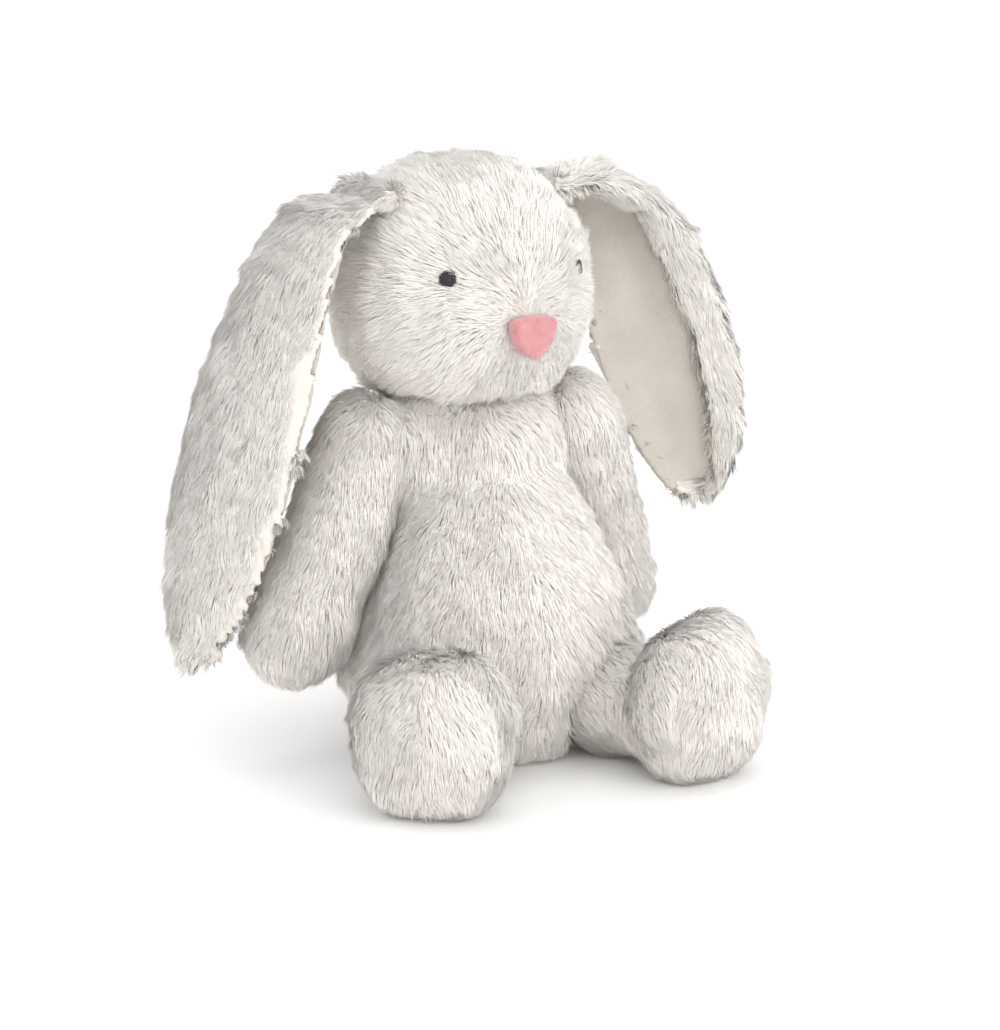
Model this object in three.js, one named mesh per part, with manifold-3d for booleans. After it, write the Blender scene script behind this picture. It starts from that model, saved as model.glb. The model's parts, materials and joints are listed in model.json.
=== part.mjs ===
// A seated stuffed bunny rabbit with lop ears, as sewn plush panels over fibre stuffing.
// Millimetres, +Z up. The bunny faces -Y, its left side is +X, and it sits on Z = 0.
import * as THREE from 'three';
import { mergeVertices } from 'three/addons/utils/BufferGeometryUtils.js';
import Module from 'manifold-3d';

const wasm = await Module();
wasm.setup();

// ---------------------------------------------------------------- driving dimensions

// Cloth and clearances
const plush_thickness = 4; // long-pile panel with its pile laid down
const lining_thickness = 2.4; // short-pile ear lining
const seam_gap = 0.4; // between two panels sewn together
const fill_gap = 1.2; // between a panel and the stuffing behind it
const joint_gap = 0.9; // between pieces that move on each other
const ear_gap = 1.6; // between an ear's flap and the head

// Body: an egg, wider below, that leans back as it rises
const body_width = 130;
const body_depth = 118;
const belly_height = 46; // height of the widest part
const body_below = 60; // egg's reach below the belly, before the flat seat cuts it
const body_above = 92; // egg's reach above the belly
const body_lean = 0.17; // set back per unit of height above the belly
const body_taper = 0.2; // share by which the egg narrows towards its top

// Neck: a ball on top of the body, on which the head sits
const neck_height = 116;
const neck_radius = 32;
const neck_fill_radius = 20;

// Head: a rounded box, fuller at the jowls
const head_width = 104;
const head_depth = 98;
const head_height = 104;
const head_underside = 137; // height of the jowls' underside above the floor
const head_set_back = 22;
const head_squareness = 2.35; // 2 is an ellipsoid, more is boxier
const jowl_fullness = 0.07; // share by which the head widens below its middle
const muzzle_bulge = 6;
const muzzle_spread = 24;
const muzzle_drop = 16; // below the head's centre
const head_turn = 5; // degrees, towards the bunny's left

// Gusset: the strip between the two side panels of the head
const gusset_nose_width = 18;
const gusset_brow_width = 60;
const gusset_brow_share = 0.43; // where the brow is, as a share of the head's depth before its centre
const gusset_nape_width = 44;
const gusset_tilt = 16; // degrees, lower at the nape

// Face
const eye_diameter = 7;
const eye_azimuth = 38; // degrees round from the nose
const eye_elevation = 9; // degrees above the head's centre
const eye_stand = 1.6; // how proud the embroidery stands
const nose_width = 20;
const nose_height = 17;
const nose_stand = 2.6;
const nose_drop = 15; // below the head's centre

// Ears
const ear_half_width = 30;
const ear_root_half_width = 17;
const ear_thickness = 14;
const ear_bow = 9; // how far the flap's middle bulges outwards
const ear_roll_share = 0.42; // where the rolled fur edge begins, as a share of the half width
const ear_root_out = 40; // from the head's middle plane
const ear_root_up = 37; // above the head's centre
const ear_root_radius = 5;
// Drape of each ear: how far out and up the flap's guide points lie from the root, how many degrees
// forwards it hangs, how many degrees its outer edge is turned from sideways to forwards, and which
// edge the fur is rolled over (1 for the outer edge, -1 for the other)
const ear_drapes = {
  left: { out: [28, 52, 80], up: [8, -28, -142], forward: 12, twist: 30, rolled: 1 },
  right: { out: [25, 50, 78], up: [8, -66, -184], forward: -4, twist: 108, rolled: -1 },
};

// Arms
const arm_root_radius = 18;
const arm_paw_radius = 21.5;
const arm_length = 81; // from the shoulder's centre to the paw's centre
const shoulder_out = 47;
const shoulder_height = 127;
const arm_hangs = {
  left: { spread: 22, back: 14 },
  right: { spread: 25, back: -2 },
};

// Legs
const hip_radius = 23;
const hip_out = 35;
const hip_forward = 42;
const hip_height = 24;
const shank_radius = 20;
const leg_splays = { left: 20, right: 42 }; // degrees
const leg_lift = 20; // degrees the leg can rise
const foot_width = 59;
const foot_depth = 42;
const foot_height = 64;
const foot_reach = 44; // from the hip's centre to the foot's centre
const sole_depth = 11; // how much of the foot's front the sole panel covers

// Tail
const tail_radius = 19;
const tail_height = 30;
const tail_sunk = 15; // how far the tail's ball is set into the body

// Seat
const bean_bag_radius = 38;
const bean_bag_height = 26;

// Mesh steps round and along each soft form
const steps_round = 20;
const steps_along = 12;
const wall_round = 14; // on the inside of the panels and the stuffing they hold
const wall_along = 9;
const fill_round = 12; // on the pieces inside the stuffing
const fill_along = 8;
const cut_round = 16; // on the balls that cut sockets
const cut_along = 10;

// ---------------------------------------------------------------- solids and cuts

const sides = { left: 1, right: -1 };
const to_radians = THREE.MathUtils.degToRad;

// A closed three.js geometry as a manifold solid, with its faces turned out.
function solidFrom(geometry) {
  const bare = geometry.clone();
  bare.deleteAttribute('normal');
  bare.deleteAttribute('uv');
  const merged = mergeVertices(bare, 1e-3);
  const corners = merged.index.array;
  const triangles = [];
  for (let i = 0; i < corners.length; i += 3) {
    const [a, b, c] = [corners[i], corners[i + 1], corners[i + 2]];
    if (a !== b && b !== c && c !== a) triangles.push(a, b, c);
  }
  const points = merged.attributes.position.array;
  if (enclosedVolume(points, triangles) < 0) triangles.reverse();
  const mesh = new wasm.Mesh({
    numProp: 3,
    vertProperties: points,
    triVerts: new Uint32Array(triangles),
  });
  return new wasm.Manifold(mesh);
}

function enclosedVolume(points, triangles) {
  const corner = (k) => new THREE.Vector3().fromArray(points, 3 * triangles[k]);
  let volume = 0;
  for (let i = 0; i < triangles.length; i += 3) {
    volume += corner(i).dot(corner(i + 1).cross(corner(i + 2))) / 6;
  }
  return volume;
}

function geometryFrom(solid) {
  const mesh = solid.getMesh();
  const geometry = new THREE.BufferGeometry();
  const points = new Float32Array(3 * mesh.numVert);
  for (let i = 0; i < mesh.numVert; i++) {
    for (let k = 0; k < 3; k++) points[3 * i + k] = mesh.vertProperties[mesh.numProp * i + k];
  }
  geometry.setAttribute('position', new THREE.BufferAttribute(points, 3));
  geometry.setIndex(new THREE.BufferAttribute(new Uint32Array(mesh.triVerts), 1));
  geometry.computeVertexNormals();
  return geometry;
}

// Moves every vertex of a geometry to where the map sends it.
function reshape(geometry, map) {
  const positions = geometry.getAttribute('position');
  const point = new THREE.Vector3();
  for (let i = 0; i < positions.count; i++) {
    point.fromBufferAttribute(positions, i);
    const moved = map(point);
    positions.setXYZ(i, moved.x, moved.y, moved.z);
  }
  return geometry;
}

// A unit sphere with its poles on Z, reshaped by a map from directions to points.
function shapedBall(map, around = steps_round, along = steps_along) {
  const ball = new THREE.SphereGeometry(1, around, along);
  ball.rotateX(Math.PI / 2);
  return solidFrom(reshape(ball, map));
}

function ball(radius, centre, around = steps_round, along = steps_along) {
  return shapedBall((way) => way.clone().multiplyScalar(radius).add(centre), around, along);
}

// A box between two corners.
function block(low, high) {
  const size = new THREE.Vector3().subVectors(high, low);
  const middle = new THREE.Vector3().addVectors(low, high).multiplyScalar(0.5);
  const geometry = new THREE.BoxGeometry(size.x, size.y, size.z);
  geometry.translate(middle.x, middle.y, middle.z);
  return solidFrom(geometry);
}

const far = 400; // beyond every piece
const at = (x, y, z) => new THREE.Vector3(x, y, z);
const above = (height) => block(at(-far, -far, height), at(far, far, far));
const beyond = (x, side) => (side > 0 ? block(at(x, -far, -far), at(far, far, far))
  : block(at(-far, -far, -far), at(-x, far, far)));
const before = (y) => block(at(-far, -far, -far), at(far, y, far));
const behind = (y) => block(at(-far, y, -far), at(far, far, far));

// A round bar between two points.
function bar(from, to, radius, around = 12) {
  const along = new THREE.Vector3().subVectors(to, from);
  const geometry = new THREE.CylinderGeometry(radius, radius, along.length(), around);
  const turn = new THREE.Quaternion().setFromUnitVectors(at(0, 1, 0), along.clone().normalize());
  geometry.applyQuaternion(turn);
  const middle = new THREE.Vector3().addVectors(from, to).multiplyScalar(0.5);
  geometry.translate(middle.x, middle.y, middle.z);
  return solidFrom(geometry);
}

// A round limb from the origin down -Z: a ball at each end and a straight flank between them.
function limb(root_radius, end_radius, length, around = steps_round) {
  const flank = Math.asin((end_radius - root_radius) / length);
  const steps = 4;
  const outline = [];
  for (let i = 0; i <= steps; i++) {
    const angle = -Math.PI / 2 + ((flank + Math.PI / 2) * i) / steps;
    outline.push(new THREE.Vector2(end_radius * Math.cos(angle), -length + end_radius * Math.sin(angle)));
  }
  for (let i = 0; i <= steps; i++) {
    const angle = flank + ((Math.PI / 2 - flank) * i) / steps;
    outline.push(new THREE.Vector2(root_radius * Math.cos(angle), root_radius * Math.sin(angle)));
  }
  outline[0].x = 0;
  outline[outline.length - 1].x = 0;
  const geometry = new THREE.LatheGeometry(outline, around);
  geometry.rotateX(Math.PI / 2);
  return solidFrom(geometry);
}

// ---------------------------------------------------------------- materials

const fur = new THREE.MeshStandardMaterial({ color: 0xf3ece0, roughness: 0.95, metalness: 0 });
const lining = new THREE.MeshStandardMaterial({ color: 0xeee4d8, roughness: 0.85, metalness: 0 });
const velour = new THREE.MeshStandardMaterial({ color: 0xe9b3ab, roughness: 0.8, metalness: 0 });
const thread = new THREE.MeshStandardMaterial({ color: 0x1b1a1c, roughness: 0.6, metalness: 0 });
const fibre = new THREE.MeshStandardMaterial({ color: 0xf7f7f5, roughness: 1, metalness: 0 });
const pellets = new THREE.MeshStandardMaterial({ color: 0xd8d4c8, roughness: 0.7, metalness: 0 });

function piece(group, name, solid, material) {
  const mesh = new THREE.Mesh(geometryFrom(solid), material);
  mesh.name = name;
  group.add(mesh);
  return mesh;
}

// ---------------------------------------------------------------- places shared by the pieces

const leanAt = (height) => body_lean * Math.max(0, height - belly_height);
const neck_centre = at(0, leanAt(neck_height), neck_height);
const head_centre = at(0, head_set_back, head_underside + head_height / 2);
const shoulderAt = (side) => at(side * shoulder_out, leanAt(shoulder_height), shoulder_height);
const hipAt = (side) => at(side * hip_out, -hip_forward, hip_height);
const tail_centre = at(0, body_depth / 2 + tail_radius - tail_sunk, tail_height);

// ---------------------------------------------------------------- body

// The egg, drawn in by the inset on every side, with the seat cut flat.
function egg(inset, around, along) {
  const form = shapedBall((way) => {
    const reach = way.z > 0 ? body_above : body_below;
    const height = belly_height + way.z * (reach - inset);
    const narrow = 1 - body_taper * Math.max(0, way.z);
    const wide = way.x * (body_width / 2 - inset) * narrow;
    const deep = way.y * (body_depth / 2 - inset) * narrow;
    return at(wide, deep + leanAt(height), height);
  }, around, along);
  return form.intersect(above(inset));
}

// The room an arm sweeps as it swings: a dish about its hinge line, deeper where the paw passes.
function armRoom(name, grow) {
  const side = sides[name];
  const root = arm_root_radius + grow;
  const paw = arm_paw_radius + grow;
  const steps = 4;
  const rim = paw / Math.cos(Math.PI / (4 * steps));
  const outline = [new THREE.Vector2(0, -root)];
  for (let i = 0; i <= steps; i++) {
    const angle = (Math.PI / 2) * (i / steps);
    outline.push(new THREE.Vector2(arm_length + rim * Math.sin(angle), -rim * Math.cos(angle)));
  }
  outline.push(new THREE.Vector2(0, root));
  const dish = new THREE.LatheGeometry(outline, 32);
  dish.rotateZ((-side * Math.PI) / 2);
  dish.rotateY(-side * to_radians(arm_hangs[name].spread));
  const shoulder = shoulderAt(side);
  dish.translate(shoulder.x, shoulder.y, shoulder.z);
  return solidFrom(dish);
}

// The room a leg sweeps as it rises: its hip, and its shank at steps of the rise.
function legRoom(name, grow) {
  const side = sides[name];
  const hip = hipAt(side);
  let room = ball(hip_radius + grow, hip, cut_round, cut_along);
  for (const share of [0, 0.5, 1]) {
    const rise = to_radians(leg_lift) * share;
    const way = at(0, -Math.cos(rise), Math.sin(rise));
    way.applyAxisAngle(at(0, 0, 1), side * to_radians(leg_splays[name]));
    room = room.add(bar(hip, hip.clone().addScaledVector(way, foot_reach), shank_radius + grow, cut_round));
  }
  return room;
}

// The room the arms, legs and tail take from the body, grown by the given amount.
function limbRoom(grow) {
  let room = ball(tail_radius + grow, tail_centre, cut_round, cut_along);
  for (const name of Object.keys(sides)) room = room.add(armRoom(name, grow)).add(legRoom(name, grow));
  return room;
}

// The body's form, drawn in by the inset from its outside and from the limbs' room.
function bodyForm(inset, around, along) {
  return egg(inset, around, along)
    .add(ball(neck_radius - inset, neck_centre, around, along))
    .subtract(limbRoom(joint_gap + inset));
}

function makeBody(group) {
  const cover = bodyForm(0).subtract(bodyForm(plush_thickness, wall_round, wall_along));
  const side_seam = leanAt(belly_height);
  for (const [name, side] of Object.entries(sides)) {
    const half = cover.intersect(beyond(seam_gap / 2, side));
    piece(group, `body_front_${name}`, half.intersect(before(side_seam - seam_gap / 2)), fur);
    piece(group, `body_back_${name}`, half.intersect(behind(side_seam + seam_gap / 2)), fur);
  }

  // The bag lies on the seat, so its room in the stuffing is open below, and the neck's is open above.
  const core = plush_thickness + fill_gap;
  const bagForm = (grow) => shapedBall((way) => at(
    way.x * (bean_bag_radius + grow),
    way.y * (bean_bag_radius + grow),
    core + bean_bag_height / 2 + way.z * (bean_bag_height / 2 + grow),
  ), fill_round, fill_along);
  const bag_middle = at(0, 0, core + bean_bag_height / 2);
  const bag_opening = bar(bag_middle, at(0, 0, -1), bean_bag_radius * 0.8, fill_round);
  const neck_top = neck_centre.clone().setZ(neck_height + 2 * neck_radius);
  const stuffing = bodyForm(core, wall_round, wall_along)
    .subtract(bagForm(fill_gap))
    .subtract(bag_opening)
    .subtract(ball(neck_fill_radius + joint_gap, neck_centre, fill_round, fill_along))
    .subtract(bar(neck_centre, neck_top, neck_fill_radius * 0.6));
  piece(group, 'body_fill', stuffing, fibre);
  piece(group, 'bean_bag', bagForm(0).subtract(limbRoom(joint_gap + core)), pellets);
  piece(group, 'neck_fill', ball(neck_fill_radius, neck_centre, fill_round, fill_along), fibre);
}

// ---------------------------------------------------------------- tail

function makeTail(group) {
  const body_room = egg(-joint_gap);
  const outer = ball(tail_radius, tail_centre, cut_round, cut_along).subtract(body_room);
  const core = ball(tail_radius - plush_thickness, tail_centre, cut_round, cut_along);
  const cover = outer.subtract(core.add(bar(tail_centre, at(0, 0, tail_height), tail_radius * 0.6)));
  const fill_radius = tail_radius - plush_thickness - fill_gap;
  const fill = ball(fill_radius, tail_centre, fill_round, fill_along).subtract(body_room);
  piece(group, 'tail_cover', cover, fur);
  piece(group, 'tail_fill', fill, fibre);
}

// ---------------------------------------------------------------- head

// The head's form about its own centre, drawn in by the inset on every side.
function headForm(inset, around, along) {
  return shapedBall((way) => {
    const k = head_squareness;
    const norm = (Math.abs(way.x) ** k + Math.abs(way.y) ** k + Math.abs(way.z) ** k) ** (-1 / k);
    const point = at(
      way.x * norm * (head_width / 2 - inset),
      way.y * norm * (head_depth / 2 - inset),
      way.z * norm * (head_height / 2 - inset),
    );
    const rise = point.z / (head_height / 2);
    point.x *= 1 - jowl_fullness * rise;
    if (point.y < 0) {
      const off = (point.x ** 2 + (point.z + muzzle_drop) ** 2) / muzzle_spread ** 2;
      point.y -= muzzle_bulge * Math.exp(-off) * Math.min(1, -point.y / 20);
    }
    return point;
  }, around, along);
}

// The gusset's region: a strip that is narrow at the nose and widest at the brow.
function gussetRegion(grow) {
  const outline = new THREE.Shape();
  const front = -head_depth;
  const brow = -head_depth * gusset_brow_share;
  outline.moveTo(-gusset_nose_width / 2 - grow, front);
  outline.lineTo(gusset_nose_width / 2 + grow, front);
  outline.lineTo(gusset_nose_width / 2 + grow, -head_depth * 0.56);
  outline.lineTo(gusset_brow_width / 2 + grow, brow);
  outline.lineTo(gusset_nape_width / 2 + grow, head_depth);
  outline.lineTo(-gusset_nape_width / 2 - grow, head_depth);
  outline.lineTo(-gusset_brow_width / 2 - grow, brow);
  outline.lineTo(-gusset_nose_width / 2 - grow, -head_depth * 0.56);
  outline.closePath();
  const strip = new THREE.ExtrudeGeometry(outline, { depth: far, bevelEnabled: false });
  strip.translate(0, 0, -muzzle_drop - nose_height / 2 - grow);
  strip.rotateX(-to_radians(gusset_tilt));
  return solidFrom(strip);
}

// Where a line from the head's centre leaves its surface.
function headSurface(azimuth, elevation) {
  const way = at(
    Math.sin(azimuth) * Math.cos(elevation),
    -Math.cos(azimuth) * Math.cos(elevation),
    Math.sin(elevation),
  );
  const k = head_squareness;
  const x = Math.abs(way.x / (head_width / 2)) ** k;
  const y = Math.abs(way.y / (head_depth / 2)) ** k;
  const z = Math.abs(way.z / (head_height / 2)) ** k;
  return way.clone().multiplyScalar((x + y + z) ** (-1 / k));
}

function makeFace(group, head_room) {
  for (const [name, side] of Object.entries(sides)) {
    const place = headSurface(side * to_radians(eye_azimuth), to_radians(eye_elevation));
    const outwards = place.clone().normalize();
    const start = place.clone().addScaledVector(outwards, -eye_diameter);
    const end = place.clone().addScaledVector(outwards, eye_stand + 1);
    const eye = bar(start, end, eye_diameter / 2, 16).subtract(head_room);
    piece(group, `eye_${name}`, eye, thread);
  }
  const half = nose_width / 2;
  const outline = new THREE.Shape();
  outline.moveTo(0, -nose_height / 2);
  outline.quadraticCurveTo(half * 0.75, -nose_height * 0.36, half, nose_height * 0.22);
  outline.quadraticCurveTo(half * 1.02, nose_height * 0.46, half * 0.7, nose_height * 0.46);
  outline.quadraticCurveTo(0, nose_height * 0.56, -half * 0.7, nose_height * 0.46);
  outline.quadraticCurveTo(-half * 1.02, nose_height * 0.46, -half, nose_height * 0.22);
  outline.quadraticCurveTo(-half * 0.75, -nose_height * 0.36, 0, -nose_height / 2);
  const depth = 20;
  const pad = new THREE.ExtrudeGeometry(outline, { depth, bevelEnabled: false, curveSegments: 5 });
  pad.rotateX(Math.PI / 2);
  const front = -head_depth / 2 - muzzle_bulge - nose_stand;
  pad.translate(0, front + depth, -nose_drop);
  piece(group, 'nose', solidFrom(pad).subtract(head_room), velour);
}

function makeHead(group) {
  const neck = neck_centre.clone().sub(head_centre);
  const socket = ball(neck_radius + joint_gap, neck, cut_round, cut_along);
  const groove_radius = ear_root_radius + joint_gap;
  const grooves = Object.entries(sides).map(([name, side]) => earRootBar(name, side, groove_radius));
  const cut = grooves.reduce((all, groove) => all.add(groove), socket);
  const core = headForm(plush_thickness, wall_round, wall_along);
  const cover = headForm(0).subtract(core).subtract(cut);
  const gusset = cover.intersect(gussetRegion(0));
  const rest = cover.subtract(gussetRegion(seam_gap));
  piece(group, 'head_gusset', gusset, fur);
  for (const [name, side] of Object.entries(sides)) {
    piece(group, `head_side_${name}`, rest.intersect(beyond(seam_gap / 2, side)), fur);
  }
  const fill = headForm(plush_thickness + fill_gap, wall_round, wall_along);
  piece(group, 'head_fill', fill.subtract(cut), fibre);
  makeFace(group, headForm(-seam_gap));
}

// ---------------------------------------------------------------- ears

// Each ear hinges on a round hem that lies in a groove on the side of the crown.
function earRoot(side) {
  return at(side * ear_root_out, 4, ear_root_up);
}

function earRootWidthWay(name, side) {
  const turn = to_radians(ear_drapes[name].forward);
  return at(side * Math.sin(turn), -Math.cos(turn), 0);
}

function earRootBar(name, side, radius) {
  const middle = earRoot(side);
  const reach = earRootWidthWay(name, side).multiplyScalar(ear_root_half_width + (radius - ear_root_radius));
  return bar(middle.clone().sub(reach), middle.clone().add(reach), radius);
}

function earSpine(name, side) {
  const { out, up, forward } = ear_drapes[name];
  const turn = to_radians(forward);
  const way = at(side * Math.cos(turn), -Math.sin(turn), 0);
  const root = earRoot(side);
  const guide = (k) => root.clone().addScaledVector(way, out[k]).add(at(0, 0, up[k]));
  return new THREE.CubicBezierCurve3(root, guide(0), guide(1), guide(2));
}

// The flap's half width along the spine: gathered at the root, rounded at the tip.
function earHalfWidth(t) {
  const opening = Math.sin(Math.min(1, t / 0.55) * Math.PI / 2);
  const tip = Math.max(0, (t - 0.6) / 0.4);
  const width = THREE.MathUtils.lerp(ear_root_half_width, ear_half_width, opening);
  return width * Math.sqrt(Math.max(0.02, 1 - tip ** 1.6));
}

// A point of the ear at share t of its spine, across (-1 to 1) of its half width, and lift from its
// middle sheet.
function earPoint(spine, side, name, t, across, lift) {
  const tangent = spine.getTangentAt(t);
  const twist = to_radians(ear_drapes[name].twist);
  const root_way = earRootWidthWay(name, side);
  const hang_way = at(side * Math.cos(twist), -Math.sin(twist), 0);
  const mix = THREE.MathUtils.smoothstep(t, 0, 0.5);
  const wide = root_way.clone().lerp(hang_way, mix);
  wide.addScaledVector(tangent, -wide.dot(tangent)).normalize();
  const inwards = new THREE.Vector3().crossVectors(tangent, wide).multiplyScalar(side).normalize();
  const bulge = -ear_bow * Math.sin(Math.min(1, t / 0.3) * Math.PI / 2) * (1 - across ** 2);
  return spine.getPointAt(t)
    .addScaledVector(wide, across * earHalfWidth(t))
    .addScaledVector(inwards, bulge + lift);
}

// A stretch of the ear as a closed solid: a cylinder reshaped round the spine.
function earStretch(name, side, from, to, section, around, along) {
  const spine = earSpine(name, side);
  const tube = new THREE.CylinderGeometry(1, 1, 1, around, along);
  return solidFrom(reshape(tube, (point) => {
    const share = 0.5 - point.y;
    const t = THREE.MathUtils.lerp(from, to, 0.3 * share + 0.7 * Math.sin((share * Math.PI) / 2));
    const angle = Math.atan2(point.z, point.x);
    const rim = Math.hypot(point.x, point.z);
    const [across, lift] = section(angle, t);
    return earPoint(spine, side, name, t, across * rim, lift * rim);
  }));
}

function makeEar(group, name, side) {
  const { rolled } = ear_drapes[name];
  const spread = (t) => {
    const tip = Math.max(0, (t - 0.8) / 0.2);
    return Math.min(1, 0.35 + t / 0.2) * Math.sqrt(Math.max(0.05, 1 - tip ** 2));
  };
  const whole = earStretch(name, side, 0, 1, (angle, t) => {
    const across = Math.cos(angle);
    const half = (ear_thickness / 2) * (1 + 0.35 * across * rolled) * spread(t);
    return [across, Math.sin(angle) * half];
  }, 16, 12);
  // The lining lies between the flap's free edge and the fur rolled over the other edge.
  const strip = (free, roll) => (rolled > 0 ? [-free, roll] : [-roll, free]);
  const lining_roll = ear_roll_share - seam_gap / ear_half_width;
  const pocket_height = ear_thickness * 1.6;
  const pocket = flapSheet(name, side, 0.1, 0.955, -seam_gap, pocket_height, ...strip(1.3, ear_roll_share));
  const inner = flapSheet(name, side, 0.105, 0.95, 0, lining_thickness, ...strip(0.93, lining_roll));
  const hem = earRootBar(name, side, ear_root_radius);
  const head_room = headForm(-ear_gap).subtract(hem);
  piece(group, `ear_back_${name}`, whole.add(hem).subtract(pocket).subtract(head_room), fur);
  piece(group, `ear_lining_${name}`, inner.subtract(head_room), lining);
}

// A flat strip of the ear between two shares of its length and two of its width.
function flapSheet(name, side, from, to, low, high, left, right) {
  const spine = earSpine(name, side);
  const slab = new THREE.BoxGeometry(1, 1, 1, 8, 18, 1);
  return solidFrom(reshape(slab, (point) => {
    const t = THREE.MathUtils.lerp(from, to, 0.5 - point.y);
    const across = THREE.MathUtils.lerp(left, right, point.x + 0.5);
    return earPoint(spine, side, name, t, across, THREE.MathUtils.lerp(low, high, point.z + 0.5));
  }));
}

// ---------------------------------------------------------------- arms

function makeArm(group, name) {
  const outer = limb(arm_root_radius, arm_paw_radius, arm_length);
  const wall = plush_thickness;
  const inner = limb(arm_root_radius - wall, arm_paw_radius - wall, arm_length, wall_round);
  const cover = outer.subtract(inner);
  const outwards = sides[name];
  piece(group, `arm_outer_${name}`, cover.intersect(beyond(seam_gap / 2, outwards)), fur);
  piece(group, `arm_inner_${name}`, cover.intersect(beyond(seam_gap / 2, -outwards)), fur);
  const core = wall + fill_gap;
  const fill = limb(arm_root_radius - core, arm_paw_radius - core, arm_length, wall_round);
  piece(group, `arm_fill_${name}`, fill, fibre);
}

// ---------------------------------------------------------------- legs

// The leg about its hip's centre, pointing along -Y, drawn in by the inset, flat where it lies on the
// floor.
function legForm(inset, around, along) {
  const ankle = at(0, -foot_reach, 0);
  const hip = ball(hip_radius - inset, at(0, 0, 0), around, along);
  const shank = hip.add(bar(at(0, 0, 0), ankle, shank_radius - inset, around));
  const foot_middle = at(0, -foot_reach, foot_height / 2 - hip_height);
  const foot = shapedBall((way) => {
    const k = 2.5;
    const norm = (Math.abs(way.x) ** k + Math.abs(way.y) ** k + Math.abs(way.z) ** k) ** (-1 / k);
    return at(
      way.x * norm * (foot_width / 2 - inset),
      way.y * norm * (foot_depth / 2 - inset),
      way.z * norm * (foot_height / 2 - inset),
    ).add(foot_middle);
  }, around, along);
  return shank.add(foot).intersect(above(inset - hip_height));
}

function makeLeg(group, name) {
  const outer = legForm(0, cut_round, cut_along);
  const inner = legForm(plush_thickness, wall_round, wall_along);
  const cover = outer.subtract(inner);
  const sole_line = -foot_reach - foot_depth / 2 + sole_depth;
  const sleeve = cover.intersect(behind(sole_line + seam_gap));
  const outwards = sides[name];
  piece(group, `leg_outer_${name}`, sleeve.intersect(beyond(seam_gap / 2, outwards)), fur);
  piece(group, `leg_inner_${name}`, sleeve.intersect(beyond(seam_gap / 2, -outwards)), fur);
  piece(group, `sole_${name}`, cover.intersect(before(sole_line)), fur);
  const fill = legForm(plush_thickness + fill_gap, wall_round, wall_along);
  piece(group, `leg_fill_${name}`, fill, fibre);
}

// ---------------------------------------------------------------- assembly

const bunny = new THREE.Group();

const torso = new THREE.Group();
makeBody(torso);
makeTail(torso);
bunny.add(torso);

// The head turns about the neck, so its group stands on the neck's centre.
const neck = new THREE.Group();
neck.name = 'neck_group';
neck.position.copy(neck_centre);
neck.rotation.z = to_radians(head_turn);
const head = new THREE.Group();
head.name = 'head_group';
head.position.subVectors(head_centre, neck_centre);
makeHead(head);
for (const [name, side] of Object.entries(sides)) makeEar(head, name, side);
neck.add(head);
bunny.add(neck);

for (const [name, side] of Object.entries(sides)) {
  const arm = new THREE.Group();
  arm.name = `arm_group_${name}`;
  arm.position.copy(shoulderAt(side));
  arm.rotation.order = 'YXZ';
  arm.rotation.y = -side * to_radians(arm_hangs[name].spread);
  arm.rotation.x = to_radians(arm_hangs[name].back);
  makeArm(arm, name);
  bunny.add(arm);

  const leg = new THREE.Group();
  leg.name = `leg_group_${name}`;
  leg.position.copy(hipAt(side));
  leg.rotation.z = side * to_radians(leg_splays[name]);
  makeLeg(leg, name);
  bunny.add(leg);
}

// The origin is the middle of the bottom of the whole.
const whole = new THREE.Box3().setFromObject(bunny, true);
const middle = whole.getCenter(new THREE.Vector3());
bunny.position.set(-middle.x, -middle.y, -whole.min.z);

export default bunny;
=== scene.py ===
import json
import math

import bmesh
import bpy
import numpy as np
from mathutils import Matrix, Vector
from mathutils.bvhtree import BVHTree
from mathutils.kdtree import KDTree


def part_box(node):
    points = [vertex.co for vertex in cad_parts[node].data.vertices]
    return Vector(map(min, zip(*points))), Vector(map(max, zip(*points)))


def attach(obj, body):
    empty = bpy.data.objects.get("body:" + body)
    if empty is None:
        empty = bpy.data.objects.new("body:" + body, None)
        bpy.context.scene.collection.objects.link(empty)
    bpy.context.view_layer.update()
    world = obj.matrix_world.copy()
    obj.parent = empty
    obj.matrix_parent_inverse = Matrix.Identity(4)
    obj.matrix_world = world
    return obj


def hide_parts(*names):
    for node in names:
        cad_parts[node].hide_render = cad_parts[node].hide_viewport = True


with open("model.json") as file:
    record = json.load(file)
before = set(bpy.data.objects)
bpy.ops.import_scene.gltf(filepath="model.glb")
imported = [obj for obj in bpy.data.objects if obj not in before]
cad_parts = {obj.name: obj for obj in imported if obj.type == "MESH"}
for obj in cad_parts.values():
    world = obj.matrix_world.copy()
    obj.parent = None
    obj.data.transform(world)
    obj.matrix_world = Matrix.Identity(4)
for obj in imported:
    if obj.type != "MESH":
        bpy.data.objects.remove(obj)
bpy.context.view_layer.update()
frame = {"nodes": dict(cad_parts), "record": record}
nodes = frame["nodes"]
MM = 0.001
SIDES = {"left": 1, "right": -1}
DENSITY = 1.0  # share of the full number of fibres
NAP = 0.95  # how much a fibre is lit as the surface it lies on, and not as a round thread
NEAR_PART, FAR_PART = 0.42, 0.58  # shares of a fibre's length before and after its bend
TUFTS = ((0.01, 0.1), (0.1, 0.27))  # share of the fibres that lead a tuft, and how far the others follow
SEAM_WIDTH = 2.2 * MM  # how far from a seam its dip fades
SEAM_DEPTH = 0.9  # mm that the skin dips at a seam
BACKING = 1.2 * MM  # thickness of the skin
SKIN_HEIGHT = 0.6 * MM  # the least height of a skin above the floor
PILE_HEIGHT = 0.5 * MM  # the least height of a fibre above the floor
DOWN = np.array([0.0, 0.0, -1.0])

# ---------------------------------------------------------------- small vector helpers


def unit(v):
    """Each row of v at length 1."""
    return v / np.maximum(np.linalg.norm(v, axis=-1, keepdims=True), 1e-12)


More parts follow.
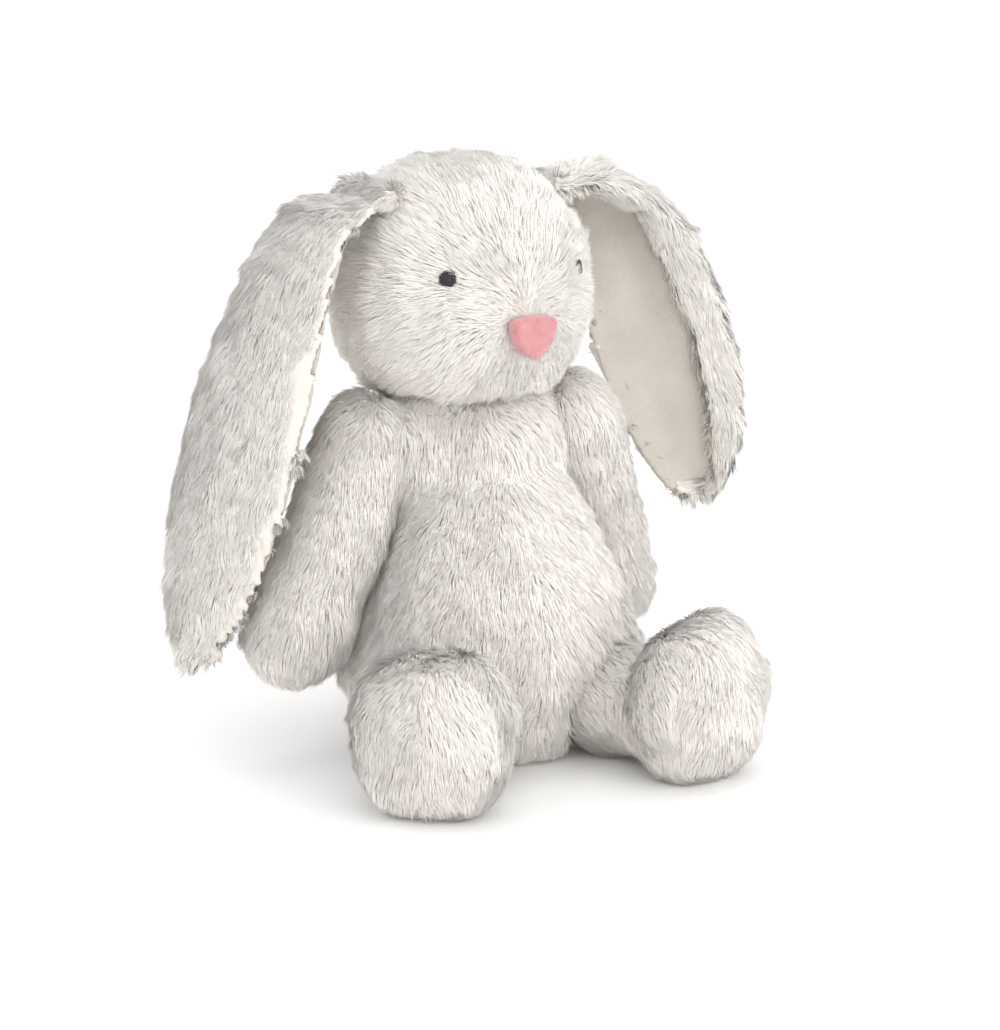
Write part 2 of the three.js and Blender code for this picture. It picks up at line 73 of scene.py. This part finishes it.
def dots(a, b):
    """The dot product of each row of a with the same row of b, as a column."""
    return (a * b).sum(-1, keepdims=True)


def step(low, high, x):
    """0 below low, 1 above high, smooth between."""
    t = np.clip((x - low) / (high - low), 0, 1)
    return t * t * (3 - 2 * t)


def ripple(points, size, seed):
    """A smooth value from about -1 to 1 for each point, with lumps about half of size wide."""
    rng = np.random.default_rng(seed)
    total = np.zeros(len(points))
    for _ in range(9):
        way = rng.normal(size=3)
        way /= np.linalg.norm(way)
        pitch = size * rng.uniform(0.6, 1.5)
        total += np.sin(points @ way * (2 * math.pi / pitch) + rng.uniform(0, 2 * math.pi))
    return total / 3.2


def centre_of(name):
    """The middle of a CAD node's box."""
    low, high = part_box(name)
    return (np.array(low) + np.array(high)) / 2


# ---------------------------------------------------------------- meshes as arrays


def arrays_of(mesh):
    """A Blender mesh's points and triangles."""
    mesh.calc_loop_triangles()
    points = np.empty(len(mesh.vertices) * 3)
    mesh.vertices.foreach_get("co", points)
    tris = np.empty(len(mesh.loop_triangles) * 3, int)
    mesh.loop_triangles.foreach_get("vertices", tris)
    return points.reshape(-1, 3), tris.reshape(-1, 3)


def joined(parts):
    """Several (points, triangles) pairs as one."""
    points, tris, start = [], [], 0
    for p, t in parts:
        points.append(p)
        tris.append(t + start)
        start += len(p)
    return np.concatenate(points), np.concatenate(tris)


def normals_of(points, tris):
    """A normal at each point, from the faces round it."""
    a, b, c = points[tris[:, 0]], points[tris[:, 1]], points[tris[:, 2]]
    faces = np.cross(b - a, c - a)
    total = np.zeros_like(points)
    for k in range(3):
        np.add.at(total, tris[:, k], faces)
    return unit(total)


def largest_island(mesh):
    """Leaves only the connected part of a mesh that reaches furthest."""
    bm = bmesh.new()
    bm.from_mesh(mesh)
    left = set(bm.verts)
    best, reach = None, -1
    while left:
        seed = left.pop()
        island, todo = [seed], [seed]
        while todo:
            for edge in todo.pop().link_edges:
                for v in edge.verts:
                    if v in left:
                        left.remove(v)
                        island.append(v)
                        todo.append(v)
        cos = np.array([v.co for v in island])
        size = np.linalg.norm(cos.max(0) - cos.min(0))
        if size > reach:
            best, reach = set(island), size
    bmesh.ops.delete(bm, geom=[v for v in bm.verts if v not in best], context="VERTS")
    bm.to_mesh(mesh)
    bm.free()


def remade(points, tris, voxel, rounds):
    """The outer surface round some closed meshes, as one even mesh, smoothed."""
    mesh = bpy.data.meshes.new("scratch")
    mesh.from_pydata(points.tolist(), [], tris.tolist())
    ob = bpy.data.objects.new("scratch", mesh)
    bpy.context.collection.objects.link(ob)
    remesh = ob.modifiers.new("remesh", "REMESH")
    remesh.mode = "VOXEL"
    remesh.voxel_size = voxel
    smooth = ob.modifiers.new("smooth", "SMOOTH")
    smooth.factor = 0.5
    smooth.iterations = rounds
    evaluated = ob.evaluated_get(bpy.context.evaluated_depsgraph_get())
    result = bpy.data.meshes.new_from_object(evaluated)
    bpy.data.objects.remove(ob)
    bpy.data.meshes.remove(mesh)
    largest_island(result)
    arrays = arrays_of(result)
    bpy.data.meshes.remove(result)
    return arrays


def ball_of(centre, radii):
    """A closed ball, stretched to three radii, as points and triangles."""
    bm = bmesh.new()
    bmesh.ops.create_icosphere(bm, subdivisions=4, radius=1)
    mesh = bpy.data.meshes.new("scratch")
    bm.to_mesh(mesh)
    bm.free()
    points, tris = arrays_of(mesh)
    bpy.data.meshes.remove(mesh)
    return points * radii + centre, tris


def tree_of(name):
    """A CAD node's surface, for finding the nearest point on it."""
    points, tris = arrays_of(nodes[name].data)
    return BVHTree.FromPolygons(points.tolist(), tris.tolist())


def distances(tree, points):
    """How far each point lies from a tree's surface."""
    return np.array([tree.find_nearest(Vector(p))[3] for p in points])


def shell(points, tris, normals, thickness):
    """An open surface given a thickness inwards, so that it is closed."""
    used, flat = np.unique(tris, return_inverse=True)
    tris = flat.reshape(-1, 3)
    outer = points[used]
    inner = outer - normals[used] * thickness
    n = len(outer)
    edges = np.concatenate([tris[:, [0, 1]], tris[:, [1, 2]], tris[:, [2, 0]]])
    key = edges[:, 0] * n + edges[:, 1]
    back = edges[:, 1] * n + edges[:, 0]
    rim = edges[~np.isin(key, back)]
    a, b = rim[:, 0], rim[:, 1]
    walls = np.concatenate([np.stack([b, a, a + n], 1), np.stack([b, a + n, b + n], 1)])
    return np.concatenate([outer, inner]), np.concatenate([tris, tris[:, ::-1] + n, walls])


def mesh_object(name, points, tris, slots, materials, normals=None):
    """A smooth-shaded mesh object from arrays, each triangle with its material's number."""
    mesh = bpy.data.meshes.new(name)
    mesh.vertices.add(len(points))
    mesh.vertices.foreach_set("co", points.astype(np.float32).ravel())
    mesh.loops.add(len(tris) * 3)
    mesh.loops.foreach_set("vertex_index", tris.astype(np.int32).ravel())
    mesh.polygons.add(len(tris))
    mesh.polygons.foreach_set("loop_start", np.arange(0, len(tris) * 3, 3, dtype=np.int32))
    for material in materials:
        mesh.materials.append(material)
    mesh.polygons.foreach_set("material_index", slots.astype(np.int32))
    mesh.polygons.foreach_set("use_smooth", np.ones(len(tris), bool))
    mesh.update(calc_edges=True)
    mesh.validate()
    if normals is not None:
        lie = mesh.attributes.new("custom_normal", "FLOAT_VECTOR", "POINT")
        lie.data.foreach_set("vector", normals.astype(np.float32).ravel())
    ob = bpy.data.objects.new(name, mesh)
    bpy.context.collection.objects.link(ob)
    return ob


# ---------------------------------------------------------------- materials


def new_material(name, colour, roughness, sheen=0.0):
    """A new material, its node tree and its shader, in one colour."""
    mat = bpy.data.materials.new(name)
    mat.use_nodes = True
    bsdf = mat.node_tree.nodes["Principled BSDF"]
    bsdf.inputs["Base Color"].default_value = (*colour, 1)
    bsdf.inputs["Roughness"].default_value = roughness
    bsdf.inputs["Sheen Weight"].default_value = sheen
    bsdf.inputs["Sheen Roughness"].default_value = 0.5
    bsdf.inputs["Specular IOR Level"].default_value = 0.25
    return mat, mat.node_tree, bsdf


def add(tree, kind, **inputs):
    """A new shader node with some of its inputs set."""
    node = tree.nodes.new(kind)
    for key, value in inputs.items():
        node.inputs[key.replace("_", " ")].default_value = value
    return node


def place(tree):
    """The object's own coordinates, in metres."""
    return tree.nodes.new("ShaderNodeTexCoord").outputs["Object"]


def fur_material(name, colour, roughness=0.8):
    """Pile: its roughness changes from tuft to tuft."""
    mat, tree, bsdf = new_material(name, colour, roughness, sheen=0.25)
    spot = place(tree)
    noise = add(tree, "ShaderNodeTexNoise", Scale=260.0, Detail=3.0)
    tree.links.new(spot, noise.inputs["Vector"])
    spread = add(tree, "ShaderNodeMapRange", To_Min=roughness - 0.12, To_Max=roughness + 0.12)
    tree.links.new(noise.outputs["Fac"], spread.inputs["Value"])
    tree.links.new(spread.outputs["Result"], bsdf.inputs["Roughness"])
    return mat


def pile_material(name, low, high, spot_scale, grain_scale, grain, sheen, roughness=0.85):
    """Short pile: two tones in soft patches, and a fine grain of pile in colour and height."""
    mat, tree, bsdf = new_material(name, high, roughness, sheen=sheen)
    spot = place(tree)
    patch = add(tree, "ShaderNodeTexNoise", Scale=spot_scale, Detail=4.0, Roughness=0.6)
    fine = add(tree, "ShaderNodeTexNoise", Scale=grain_scale, Detail=2.0, Roughness=0.7)
    tree.links.new(spot, patch.inputs["Vector"])
    tree.links.new(spot, fine.inputs["Vector"])
    fine_share, patch_share = 0.55, 0.45
    both = add(tree, "ShaderNodeMath")
    both.operation = "MULTIPLY_ADD"
    both.inputs[1].default_value = fine_share
    tree.links.new(fine.outputs["Fac"], both.inputs[0])
    part = add(tree, "ShaderNodeMath")
    part.operation = "MULTIPLY"
    part.inputs[1].default_value = patch_share
    tree.links.new(patch.outputs["Fac"], part.inputs[0])
    tree.links.new(part.outputs[0], both.inputs[2])
    ramp = tree.nodes.new("ShaderNodeValToRGB")
    for element, position, colour in zip(ramp.color_ramp.elements, (0.32, 0.68), (low, high)):
        element.position = position
        element.color = (*colour, 1)
    tree.links.new(both.outputs[0], ramp.inputs["Fac"])
    tree.links.new(ramp.outputs["Color"], bsdf.inputs["Base Color"])
    bump = add(tree, "ShaderNodeBump", Strength=grain, Distance=0.0006)
    tree.links.new(fine.outputs["Fac"], bump.inputs["Height"])
    tree.links.new(bump.outputs["Normal"], bsdf.inputs["Normal"])
    return mat


fur_white = fur_material("fur_white", (0.985, 0.95, 0.902))
fur_ivory = fur_material("fur_ivory", (0.98, 0.93, 0.868))
fur_warm = fur_material("fur_warm", (0.97, 0.90, 0.815))
cloth = fur_material("fur_backing", (0.96, 0.91, 0.845), 0.9)
# A darker copy of the fur backing: painted shade on the ear's bare skin, standing in for the shade that the
# pile casts elsewhere.
shaded_ear_backing = fur_material("ear_backing_painted_shade", (0.73, 0.69, 0.635), 0.9)
FUR = [cloth, fur_white, fur_ivory, fur_warm]
# The lining's own cream-beige pile, darkened well below its real colour: partly painted shade that offsets
# the bright studio light.
lining_pile_and_painted_shade = pile_material("lining_pile_and_painted_shade", (0.5, 0.455, 0.40), (0.6, 0.56, 0.505), 60, 1500, 0.5, 0.4)
velour = pile_material("nose_velour", (0.52, 0.18, 0.19), (0.72, 0.335, 0.34), 220, 2400, 0.9, 0.7)
thread = pile_material(
    "eye_thread", (0.012, 0.011, 0.013), (0.05, 0.047, 0.052), 900, 3000, 0.4, 0.1, roughness=0.42
)

# ---------------------------------------------------------------- pile


def sample(points, tris, normals, density, rng):
    """Roots spread evenly over a surface: places, normals and faces. Density is per square metre."""
    a, b, c = points[tris[:, 0]], points[tris[:, 1]], points[tris[:, 2]]
    area = np.linalg.norm(np.cross(b - a, c - a), axis=1) / 2
    count = int(area.sum() * density * DENSITY)
    face = rng.choice(len(tris), count, p=area / area.sum())
    u, v = rng.random((2, count, 1))
    flip = (u + v) > 1
    u, v = np.where(flip, 1 - u, u), np.where(flip, 1 - v, v)
    places = a[face] + u * (b - a)[face] + v * (c - a)[face]
    na, nb, nc = normals[tris[face, 0]], normals[tris[face, 1]], normals[tris[face, 2]]
    return places, unit(na + u * (nb - na) + v * (nc - na)), face


def comb(roots, normals, way, length, lean, width, rng):
    """The middle and tip of each fibre, leaning along way, bent over and drawn into tufts."""
    along = unit(way - normals * dots(way, normals))
    across = np.cross(normals, along)
    swing = (rng.normal(0, 0.12, len(roots)) + 0.22 * ripple(roots, 22 * MM, 5)
             + 0.1 * ripple(roots, 7 * MM, 6))[:, None]
    along = along * np.cos(swing) + across * np.sin(swing)
    length = (length * (1 + 0.12 * ripple(roots, 6 * MM, 9)) * rng.uniform(0.75, 1.15, len(roots)))[:, None]
    lean = np.radians(lean + 4 * ripple(roots, 15 * MM, 7) + rng.normal(0, 5, len(roots)))[:, None]
    low, high = lean - 0.45, np.minimum(lean + 0.3, 1.5)
    middle = roots + NEAR_PART * length * (normals * np.cos(low) + along * np.sin(low))
    tip = middle + FAR_PART * length * (normals * np.cos(high) + along * np.sin(high))
    # Each fibre is drawn towards the one that leads its tuft.
    for share, pull in TUFTS:
        leaders = rng.choice(len(roots), max(1, int(len(roots) * share)), replace=False)
        tree = KDTree(len(leaders))
        for k, leader in enumerate(leaders):
            tree.insert(roots[leader], k)
        tree.balance()
        lead = leaders[[tree.find(p)[1] for p in roots]]
        amount = pull * rng.uniform(0.5, 1.2, (len(roots), 1))
        tip = tip + amount * (tip[lead] - tip)
        middle = middle + 0.35 * amount * (middle[lead] - middle)
    return middle, tip, width * rng.uniform(0.7, 1.3, len(roots))


def fibre_mesh(roots, middle, tip, width, up):
    """Each fibre as a closed spindle, a root, a ring of three and a tip, lit mostly as the nap it lies in."""
    n = len(roots)
    axis = unit(tip - roots)
    spare = np.where(np.abs(axis[:, 2:3]) < 0.9, [[0.0, 0.0, 1.0]], [[1.0, 0.0, 0.0]])
    u = unit(np.cross(axis, spare))
    v = np.cross(axis, u)
    points = np.empty((n, 5, 3))
    points[:, 0] = roots
    points[:, 4] = tip
    lit = np.empty((n, 5, 3))
    lit[:, 0] = lit[:, 4] = up
    for k in range(3):
        turn = 2 * math.pi * k / 3
        way = u * math.cos(turn) + v * math.sin(turn)
        points[:, 1 + k] = middle + width[:, None] * way
        lit[:, 1 + k] = unit(NAP * up + (1 - NAP) * way)
    pattern = np.array([[0, 2, 1], [0, 3, 2], [0, 1, 3], [4, 1, 2], [4, 2, 3], [4, 3, 1]])
    tris = (np.arange(n) * 5)[:, None, None] + pattern[None]
    return points.reshape(-1, 3), tris.reshape(-1, 3), lit.reshape(-1, 3)


def furry(members, panels, body, flow, seed, length, lean, inset, voxel=2.0, rounds=14, lump=0.9,
          tones=(0.50, 0.36, 0.14), density=3.4e6, width=0.145, trim=None, bare=None, puff=None, extra=()):
    """A stuffed part: one smooth skin round its CAD nodes, shared out to its panels, each with its pile.

    Length, inset, voxel, lump and width are in mm and lean in degrees. Trim gives a share of the length, bare
    the places without pile, puff the mm by which the skin is fuller, and extra more meshes to join in.
    """
    rng = np.random.default_rng(seed)
    shapes = [arrays_of(nodes[m].data) for m in members] + list(extra)
    points, tris = remade(*joined(shapes), voxel * MM, rounds)
    normals = normals_of(points, tris)
    near = np.stack([distances(tree_of(p), points) for p in panels])
    if len(panels) > 1:
        order = np.sort(near, axis=0)
        seam = np.exp(-(((order[1] - order[0]) / SEAM_WIDTH) ** 2))
    else:
        seam = np.zeros(len(points))
    drop = (inset + SEAM_DEPTH * seam + lump * ripple(points, 34 * MM, seed + 20)
            + 0.35 * ripple(points, 12 * MM, seed + 21))
    if puff is not None:
        drop = drop - puff(points)
    points = points - normals * (drop * MM)[:, None]
    points[:, 2] = np.maximum(points[:, 2], SKIN_HEIGHT)
    normals = normals_of(points, tris)
    owner = near[:, tris].mean(2).argmin(0)
    roots, up, face = sample(points, tris, normals, density, rng)
    if bare is not None:
        keep = ~bare(roots, up)
        roots, up, face = roots[keep], up[keep], face[keep]
    owned = owner[face]
    way = flow(roots, up, owned)
    near_seam = seam[tris[face]].mean(1)
    size = length * MM * np.ones(len(roots)) * (1 - 0.2 * near_seam)
    if trim is not None:
        size = size * trim(roots)
    middle, tip, thick = comb(roots, up, way, size, lean - 5 * near_seam, width * MM, rng)
    for ends in (middle, tip):
        ends[:, 2] = np.maximum(ends[:, 2], PILE_HEIGHT)
    tone = rng.choice([1, 2, 3], len(roots), p=tones)
    made = {}
    for k, panel in enumerate(panels):
        base = shell(points, tris[owner == k], normals, BACKING)
        mine = owned == k
        *hair, lit = fibre_mesh(roots[mine], middle[mine], tip[mine], thick[mine], up[mine])
        both = joined([base, hair])
        slots = np.concatenate([np.zeros(len(base[1])), np.repeat(tone[mine], 6)])
        ob = mesh_object(panel + "_plush", *both, slots, FUR, np.concatenate([normals_of(*base), lit]))
        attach(ob, body)
        made[panel] = ob
    return made


# ---------------------------------------------------------------- the parts

head_centre = centre_of("head_fill")
nose_centre = centre_of("nose")
whorl = nose_centre + [0, 0.012, 0.007]  # where the pile of the face starts
eyes = {name: centre_of("eye_" + name) for name in SIDES}


def head_flow(p, n, owned):
    """Away from the nose over the face, then back and down."""
    way = unit(p - whorl)
    side = owned > 0
    down = np.where(side, 0.55, 0.0) * step(0.02, -0.02, p[:, 2] - head_centre[2])
    return way + DOWN * down[:, None] + np.array([0, 0.25, 0])


def head_trim(p):
    """Shorter pile round the eyes and the nose."""
    size = np.ones(len(p))
    for eye in eyes.values():
        size *= 0.55 + 0.45 * step(4 * MM, 8 * MM, np.linalg.norm(p - eye, axis=1))
    off = np.linalg.norm((p - nose_centre) * [1, 0.6, 1.1], axis=1)
    return size * (0.45 + 0.55 * step(8 * MM, 26 * MM, off))


def head_bare(p, n):
    """Where the eyes and the nose are sewn on."""
    hit = np.zeros(len(p), bool)
    for eye in eyes.values():
        hit |= np.linalg.norm(p - eye, axis=1) < 4.2 * MM
    off = (p - nose_centre + [0, 0, 1.2 * MM]) / [8.8 * MM, 14 * MM, 6.6 * MM]
    return hit | ((off**2).sum(1) < 1)


head = furry(
    ["head_gusset", "head_side_left", "head_side_right", "head_fill"],
    ["head_gusset", "head_side_left", "head_side_right"], "head", head_flow,
    trim=head_trim, bare=head_bare, length=8.6, lean=60, inset=3.2, tones=(0.68, 0.26, 0.06), seed=11,
)
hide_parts("head_gusset", "head_fill")
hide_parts("head_side_left")
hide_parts("head_side_right")

body_names = ["body_front_left", "body_front_right", "body_back_left", "body_back_right"]
body_centre = centre_of("body_fill")
joints = {joint["name"]: joint for joint in frame["record"]["behaviour"]["joints"]}
shoulders = {name: np.array(joints["arm_swing_" + name]["pos_m"]) for name in SIDES}


def body_flow(p, n, owned):
    """Down, and a little away from the middle seam."""
    side = np.sign(p[:, 0] - body_centre[0])
    return DOWN + np.stack([0.22 * side, np.zeros(len(p)), np.zeros(len(p))], 1)


yoke_centre = (shoulders["left"] + shoulders["right"]) / 2 - [0, 0, 6 * MM]
yoke = [ball_of(yoke_centre, [54 * MM, 25 * MM, 31 * MM])]
body = furry(
    body_names + ["body_fill", "bean_bag"], body_names, "torso", body_flow,
    length=8.6, lean=60, inset=3.2, tones=(0.40, 0.46, 0.14), seed=21, lump=1.1, extra=yoke,
)
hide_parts("body_front_left", "body_fill")
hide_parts("body_front_right", "bean_bag")
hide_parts("body_back_left")
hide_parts("body_back_right")


def tail_flow(p, n, owned):
    """Out and down, and a little back."""
    return n + DOWN * 0.8 + np.array([0, 0.4, 0])


tail = furry(
    ["tail_cover", "tail_fill"], ["tail_cover"], "torso", tail_flow,
    length=11, lean=38, inset=4.0, voxel=1.6, seed=31,
)["tail_cover"]
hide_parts("tail_cover", "tail_fill")

points, tris = remade(*arrays_of(nodes["neck_fill"].data), 1.6 * MM, 6)
neck = mesh_object("neck_stuffing", points, tris, np.zeros(len(tris)), [cloth])
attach(neck, "neck")
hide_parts("neck_fill")

for name, side in SIDES.items():
    low, high = (np.array(v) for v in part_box("arm_fill_" + name))
    shoulder = shoulders[name]
    paw = np.array([high[0] if side > 0 else low[0], (low[1] + high[1]) / 2, low[2]])
    paw[0] -= side * 0.016  # from the paw's outer side to its middle

    def arm_flow(p, n, owned, way=unit(paw - shoulder)):
        """Along the arm to its paw, and a little down."""
        return way + 0.25 * DOWN

    def arm_puff(p, shoulder=shoulder):
        """Fuller over the shoulder."""
        return 3.4 * step(46 * MM, 8 * MM, np.linalg.norm(p - shoulder, axis=1))

    arm = furry(
        [f"arm_outer_{name}", f"arm_inner_{name}", f"arm_fill_{name}"],
        [f"arm_outer_{name}", f"arm_inner_{name}"], "arm_" + name, arm_flow,
        length=8.6, lean=60, inset=2.2, voxel=1.6, tones=(0.42, 0.44, 0.14), seed=41 + side, puff=arm_puff,
    )
    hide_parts(f"arm_outer_{name}", f"arm_fill_{name}")
    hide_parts(f"arm_inner_{name}")

    hip = centre_of("leg_fill_" + name)
    sole = centre_of("sole_" + name)
    forward = unit((sole - hip) * [1, 1, 0])

    def leg_flow(p, n, owned, sole=sole, forward=forward):
        """Forwards along the leg, then down over the foot and out from the middle of the sole."""
        front = dots(p - sole, np.tile(forward, (len(p), 1)))[:, 0]
        on_sole = step(-6 * MM, 4 * MM, front)[:, None]
        spread = p - (sole + [0, 0, 0.012])
        spread = spread - forward * dots(spread, np.tile(forward, (len(p), 1)))
        return (1 - on_sole) * (forward * 0.75 + DOWN * 0.7) + on_sole * (0.35 * unit(spread) + DOWN * 0.9)

    leg = furry(
        [f"leg_outer_{name}", f"leg_inner_{name}", f"sole_{name}", f"leg_fill_{name}"],
        [f"leg_outer_{name}", f"leg_inner_{name}", f"sole_{name}"], "leg_" + name, leg_flow,
        length=8.0, lean=60, inset=1.6, voxel=1.6, tones=(0.42, 0.44, 0.14), seed=51 + side,
    )
    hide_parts(f"leg_outer_{name}", f"leg_fill_{name}")
    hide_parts(f"leg_inner_{name}")
    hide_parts(f"sole_{name}")

# ---------------------------------------------------------------- ears

EAR_ROOT_IN = 0.006  # how far the root lies inside the corner of the ear's box
FOLD_PITCH = 0.021  # between the soft folds across a lining

for name, side in SIDES.items():
    cad_points = arrays_of(nodes["ear_back_" + name].data)[0]
    lining_tree = tree_of("ear_lining_" + name)
    low, high = (np.array(v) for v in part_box("ear_back_" + name))
    root_x = low[0] + EAR_ROOT_IN if side > 0 else high[0] - EAR_ROOT_IN
    root = np.array([root_x, (low[1] + high[1]) / 2, high[2] - EAR_ROOT_IN])
    reach = np.linalg.norm(cad_points - root, axis=1)
    marks = np.linspace(0, reach.max() * 0.97, 11)
    spine = [root]
    for a, b in zip(marks[:-1], marks[1:]):
        inside = (reach >= a) & (reach < b)
        if inside.any():
            spine.append(cad_points[inside].mean(0))
    spine = np.array(spine)
    ways = unit(spine[1:] - spine[:-1])
    gaps = np.linalg.norm(spine - root, axis=1)
    middles = (gaps[1:] + gaps[:-1]) / 2

    def ear_flow(p, n, owned, root=root, middles=middles, ways=ways, tree=lining_tree):
        """Along the ear from its root to its tip, and over the lining's edge."""
        d = np.linalg.norm(p - root, axis=1)
        along = np.stack([np.interp(d, middles, ways[:, k]) for k in range(3)], 1)
        gap = np.array([tree.find_nearest(Vector(q))[0] for q in p]) - p
        beside = step(-0.25, 0.25, dots(unit(gap), n)[:, 0])
        fringe = (step(9 * MM, 3 * MM, np.linalg.norm(gap, axis=1)) * beside)[:, None]
        return along * (1 - 0.35 * fringe) + 0.15 * DOWN + 0.9 * fringe * unit(gap)

    # The lining's foremost points, by height: the free edge of an ear that hangs edge on.
    lining_points = arrays_of(nodes["ear_lining_" + name].data)[0]
    levels = np.arange(lining_points[:, 2].min(), lining_points[:, 2].max(), 5 * MM)
    rows = [lining_points[np.abs(lining_points[:, 2] - z) < 7 * MM] for z in levels]
    edge = np.array([row[row[:, 1].argmin()] for row in rows if len(row)])

    def edge_gap(p, edge=edge):
        """How far each point lies from that edge."""
        line = np.stack([np.interp(p[:, 2], edge[:, 2], edge[:, k]) for k in range(3)], 1)
        return np.linalg.norm(p - line, axis=1)

    def ear_bare(p, n, tree=lining_tree, gap=edge_gap, side=side):
        """Behind the lining, where the two faces meet."""
        hits = [tree.find_nearest(Vector(q)) for q in p]
        facing = np.array([hit[1] for hit in hits])
        apart = np.array([hit[3] for hit in hits])
        turned = dots(facing, n)[:, 0]
        if side > 0:
            return (apart < 3.4 * MM) & (turned < -0.3)
        return (apart < 2.6 * MM) & (turned < -0.6) & (gap(p) > 7.5 * MM)

    def ear_trim(p, gap=edge_gap, top=edge[-1, 2], side=side):
        """Short and smooth along the right ear's free edge."""
        if side > 0:
            return 1.0
        low = step(34 * MM, 46 * MM, top - p[:, 2])
        return 1 - 0.35 * low * step(8 * MM, 4 * MM, gap(p))

    ear = furry(
        ["ear_back_" + name], ["ear_back_" + name], "ear_" + name, ear_flow,
        length=9.0, lean=62, inset=1.6, voxel=1.3, rounds=8, bare=ear_bare, lump=0.6, trim=ear_trim,
        tones=(0.66, 0.26, 0.08), seed=61 + side,
    )["ear_back_" + name]
    # The ear's skin takes the darker backing, painted shade where it shows bare.
    ear.data.materials[0] = shaded_ear_backing
    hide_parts("ear_back_" + name)

    points, tris = remade(*arrays_of(nodes["ear_lining_" + name].data), 0.8 * MM, 10)
    normals = normals_of(points, tris)
    d = np.linalg.norm(points - root, axis=1)
    across = np.cross(ways[5], [0, 1, 0]) * 2 * math.pi / FOLD_PITCH
    fold = 0.9 * np.sin(points @ across + d * 25) * ripple(points, 90 * MM, 3)
    points = points + normals * ((0.4 * ripple(points, 26 * MM, 4) + fold - 0.1 + 0.25 * side) * MM)[:, None]
    if side < 0:
        # The right ear's lining stays behind its free edge.
        points[:, 1] += 2 * MM * step(9 * MM, 2 * MM, edge_gap(points))
    lining = mesh_object("ear_lining_" + name + "_cloth", points, tris, np.zeros(len(tris)), [lining_pile_and_painted_shade])
    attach(lining, "ear_" + name)
    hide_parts("ear_lining_" + name)

# ---------------------------------------------------------------- nose and eyes

points, tris = remade(*arrays_of(nodes["nose"].data), 0.5 * MM, 16)
normals = normals_of(points, tris)
points = points + normals * ((0.4 + 0.2 * ripple(points, 7 * MM, 8)) * MM)[:, None] + [0, 1.4 * MM, -1.1 * MM]
nose = mesh_object("nose_pad", points, tris, np.zeros(len(tris)), [velour])
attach(nose, "head")
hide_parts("nose")

STITCHES = 9  # satin stitches side by side in an eye
STITCH_POINTS = 9  # along a stitch
STITCH_SIDES = 8  # round a stitch
STITCH_RADIUS = 0.46 * MM
EYE_RADIUS = 3.3 * MM


def stitch(centre, across, upward, out, off):
    """One upright stitch, off to the side of an eye's centre: a closed tube, domed, its ends tucked in."""
    half = math.sqrt(max(0.0, EYE_RADIUS**2 - off**2)) + 0.25 * MM
    rings = []
    for j in range(STITCH_POINTS):
        t = 2 * j / (STITCH_POINTS - 1) - 1
        dome = 1.3 * MM * (1 - 0.55 * ((t * half / EYE_RADIUS) ** 2 + (off / EYE_RADIUS) ** 2))
        end = 1.6 * MM * max(0.0, abs(t) - 0.75) * 4
        middle = centre + across * off + upward * (t * half) + out * (dome - end - 0.2 * MM)
        for m in range(STITCH_SIDES):
            turn = 2 * math.pi * m / STITCH_SIDES
            rings.append(middle + STITCH_RADIUS * (across * math.cos(turn) + out * math.sin(turn)))
    tris = []
    for j in range(STITCH_POINTS - 1):
        for m in range(STITCH_SIDES):
            a, b = j * STITCH_SIDES + m, j * STITCH_SIDES + (m + 1) % STITCH_SIDES
            tris += [[a, b, b + STITCH_SIDES], [a, b + STITCH_SIDES, a + STITCH_SIDES]]
    last = (STITCH_POINTS - 1) * STITCH_SIDES
    for m in range(1, STITCH_SIDES - 1):
        tris += [[0, m + 1, m], [last, last + m, last + m + 1]]
    return np.array(rings), np.array(tris)


for name in SIDES:
    out = unit(eyes[name] - head_centre)
    centre = eyes[name] - out * 2.6 * MM
    across = unit(np.cross([0, 0, 1.0], out))
    upward = np.cross(out, across)
    strands = []
    for k in range(STITCHES):
        off = EYE_RADIUS * (2 * (k + 0.5) / STITCHES - 1)
        strands.append(stitch(centre, across, upward, out, off))
    points, tris = joined(strands)
    eye = mesh_object("eye_stitch_" + name, points, tris, np.zeros(len(tris)), [thread])
    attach(eye, "head")
    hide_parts("eye_" + name)

# ---------------------------------------------------------------- floor, light and camera

bpy.ops.mesh.primitive_plane_add(size=60)
floor = bpy.context.object
floor.name = "floor"
paper = new_material("floor_paper", (0.96, 0.96, 0.955), 0.7)[0]
floor.data.materials.append(paper)

world = bpy.data.worlds.new("studio")
world.use_nodes = True
world.node_tree.nodes["Background"].inputs["Color"].default_value = (1, 1, 1, 1)
world.node_tree.nodes["Background"].inputs["Strength"].default_value = 1.18
bpy.context.scene.world = world


def softbox(name, spot, target, size, power):
    """A square area light at a spot, facing a target."""
    light = bpy.data.lights.new(name, "AREA")
    light.shape = "SQUARE"
    light.size = size
    light.energy = power
    ob = bpy.data.objects.new(name, light)
    ob.location = spot
    ob.rotation_euler = (Vector(target) - Vector(spot)).to_track_quat("-Z", "Y").to_euler()
    bpy.context.collection.objects.link(ob)


middle = (0.0, 0.0, 0.12)
softbox("key", (0.15, -1.3, 0.3), middle, 1.8, 13)
softbox("top", (0.1, 0.2, 1.3), middle, 0.9, 1.5)

aim = Vector((0.0037, 0.0087, 0.0955))
azimuth, elevation, distance = math.radians(-29), math.radians(13), 1.2
back = Vector((
    math.sin(azimuth) * math.cos(elevation),
    -math.cos(azimuth) * math.cos(elevation),
    math.sin(elevation),
))
camera_data = bpy.data.cameras.new("camera")
camera_data.sensor_width = 36
camera_data.lens = 102.7
camera = bpy.data.objects.new("camera", camera_data)
camera.location = aim + back * distance
camera.rotation_euler = (-back).to_track_quat("-Z", "Y").to_euler()
bpy.context.collection.objects.link(camera)
bpy.context.scene.camera = camera
bpy.context.scene.view_settings.view_transform = "Standard"
